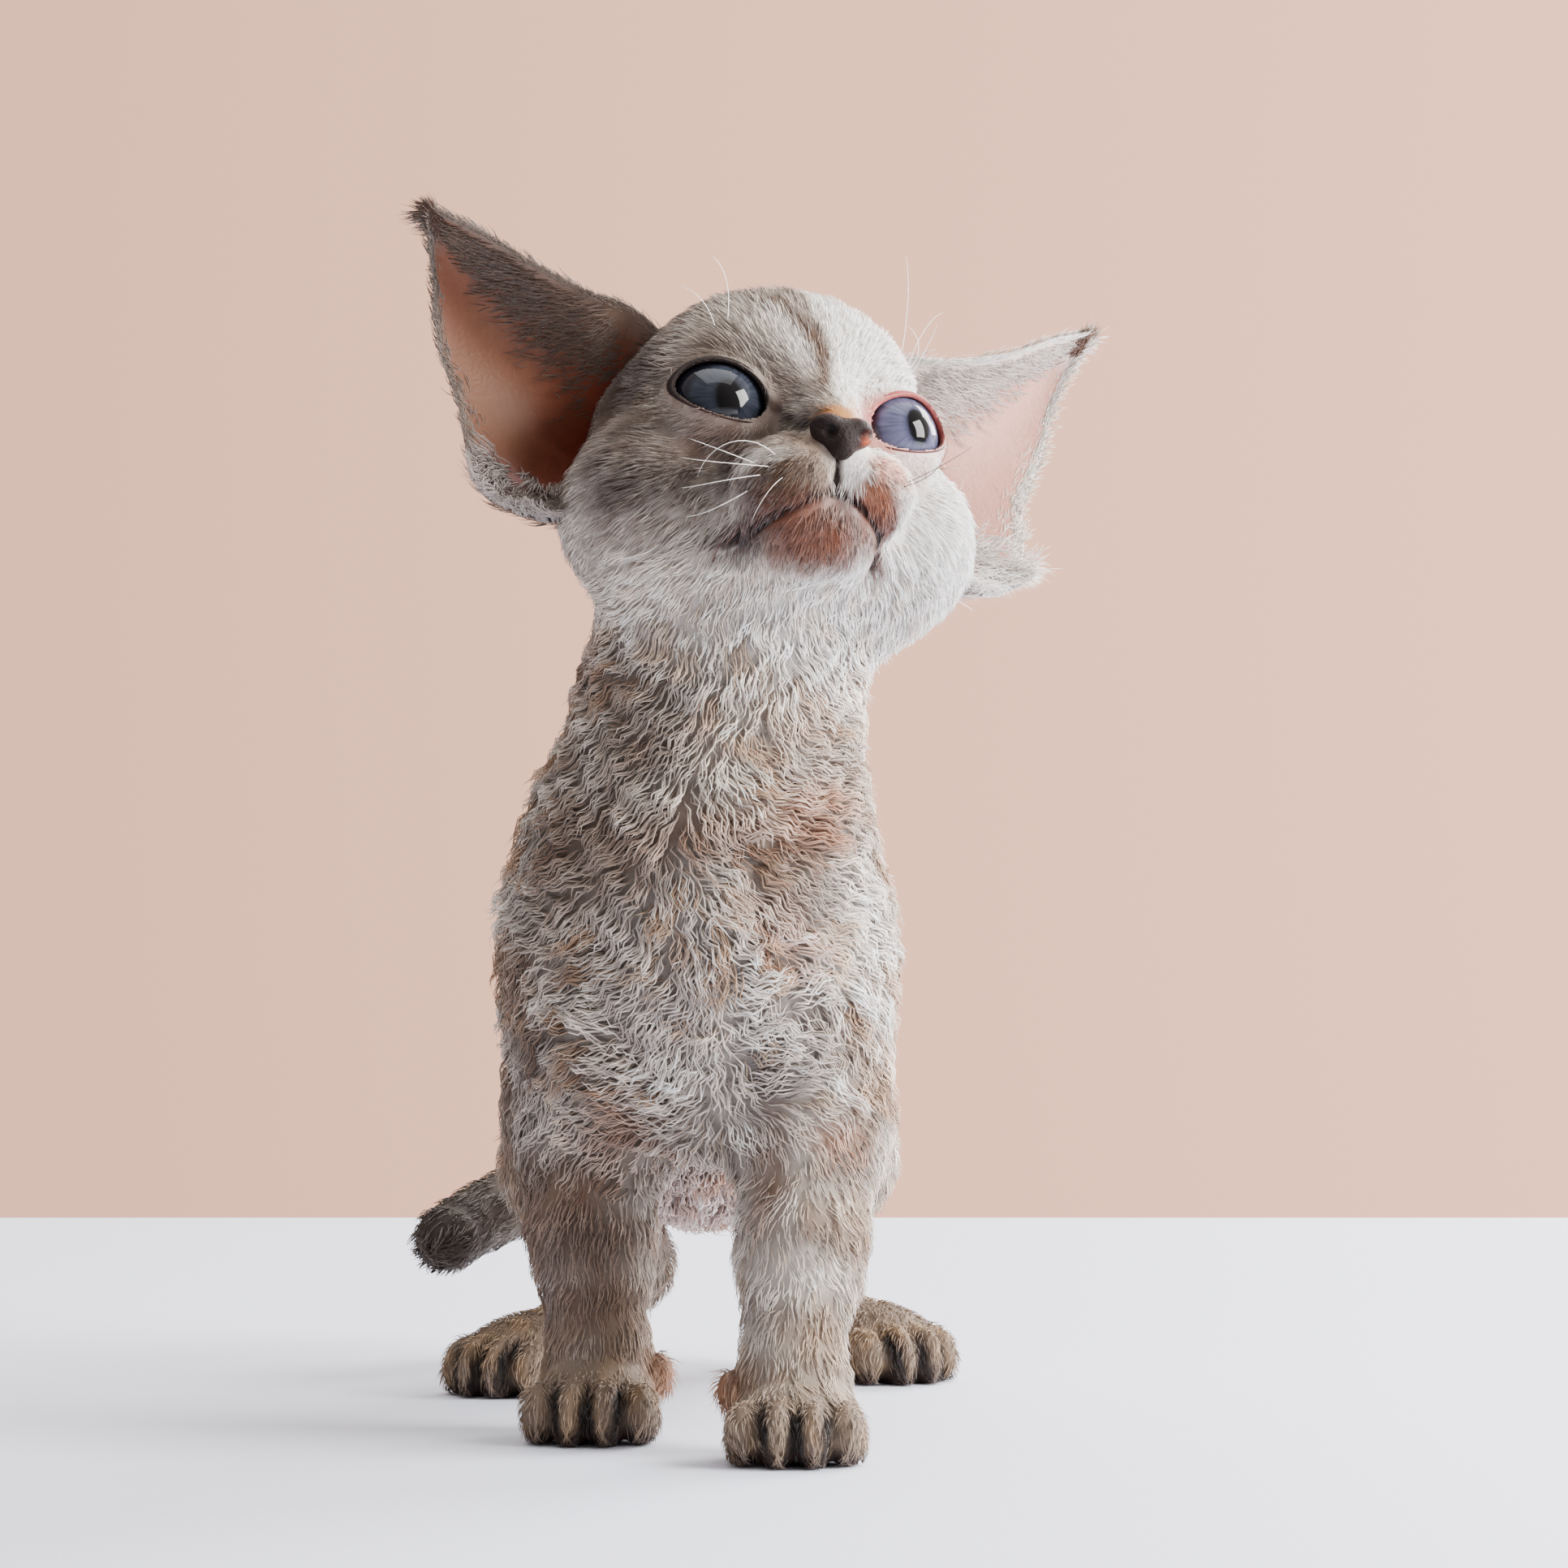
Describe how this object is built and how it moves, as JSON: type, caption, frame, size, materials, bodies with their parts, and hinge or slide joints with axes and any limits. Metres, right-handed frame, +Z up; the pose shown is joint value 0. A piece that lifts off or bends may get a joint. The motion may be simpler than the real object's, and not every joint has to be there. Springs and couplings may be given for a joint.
{
  "type": "devon rex kitten",
  "caption": "Life-size still model of a curly-coated kitten with large cupped ears, standing with its hindquarters lowered and its head raised and turned to its left.",
  "frame": {"origin": "on the floor, under the middle of the whole kitten's bounding box", "axes": "+Z up from the floor; the body faces -Y; the kitten's left side is +X"},
  "size_m": [0.108, 0.1798, 0.1816],
  "materials": {
    "coat": "short, soft, wavy fur, cream white with taupe and ginger bands",
    "coat_points": "short, soft fur, taupe brown",
    "ear_skin": "thin pink skin with sparse fine hair",
    "nose_leather": "fine grained, slightly moist, brown black",
    "eye": "clear wet cornea over a slate blue iris"
  },
  "bodies": {
    "root": {"head": "coat", "nose": "nose_leather", "eye_left": "eye", "eye_right": "eye", "ear_left": "ear_skin", "ear_right": "ear_skin", "neck": "coat", "torso": "coat", "tail": "coat_points", "foreleg_left": "coat", "foreleg_right": "coat", "forepaw_left": "coat_points", "forepaw_right": "coat_points", "thigh_left": "coat", "thigh_right": "coat", "hock_left": "coat_points", "hock_right": "coat_points", "hindpaw_left": "coat_points", "hindpaw_right": "coat_points"}
  },
  "joints": []
}
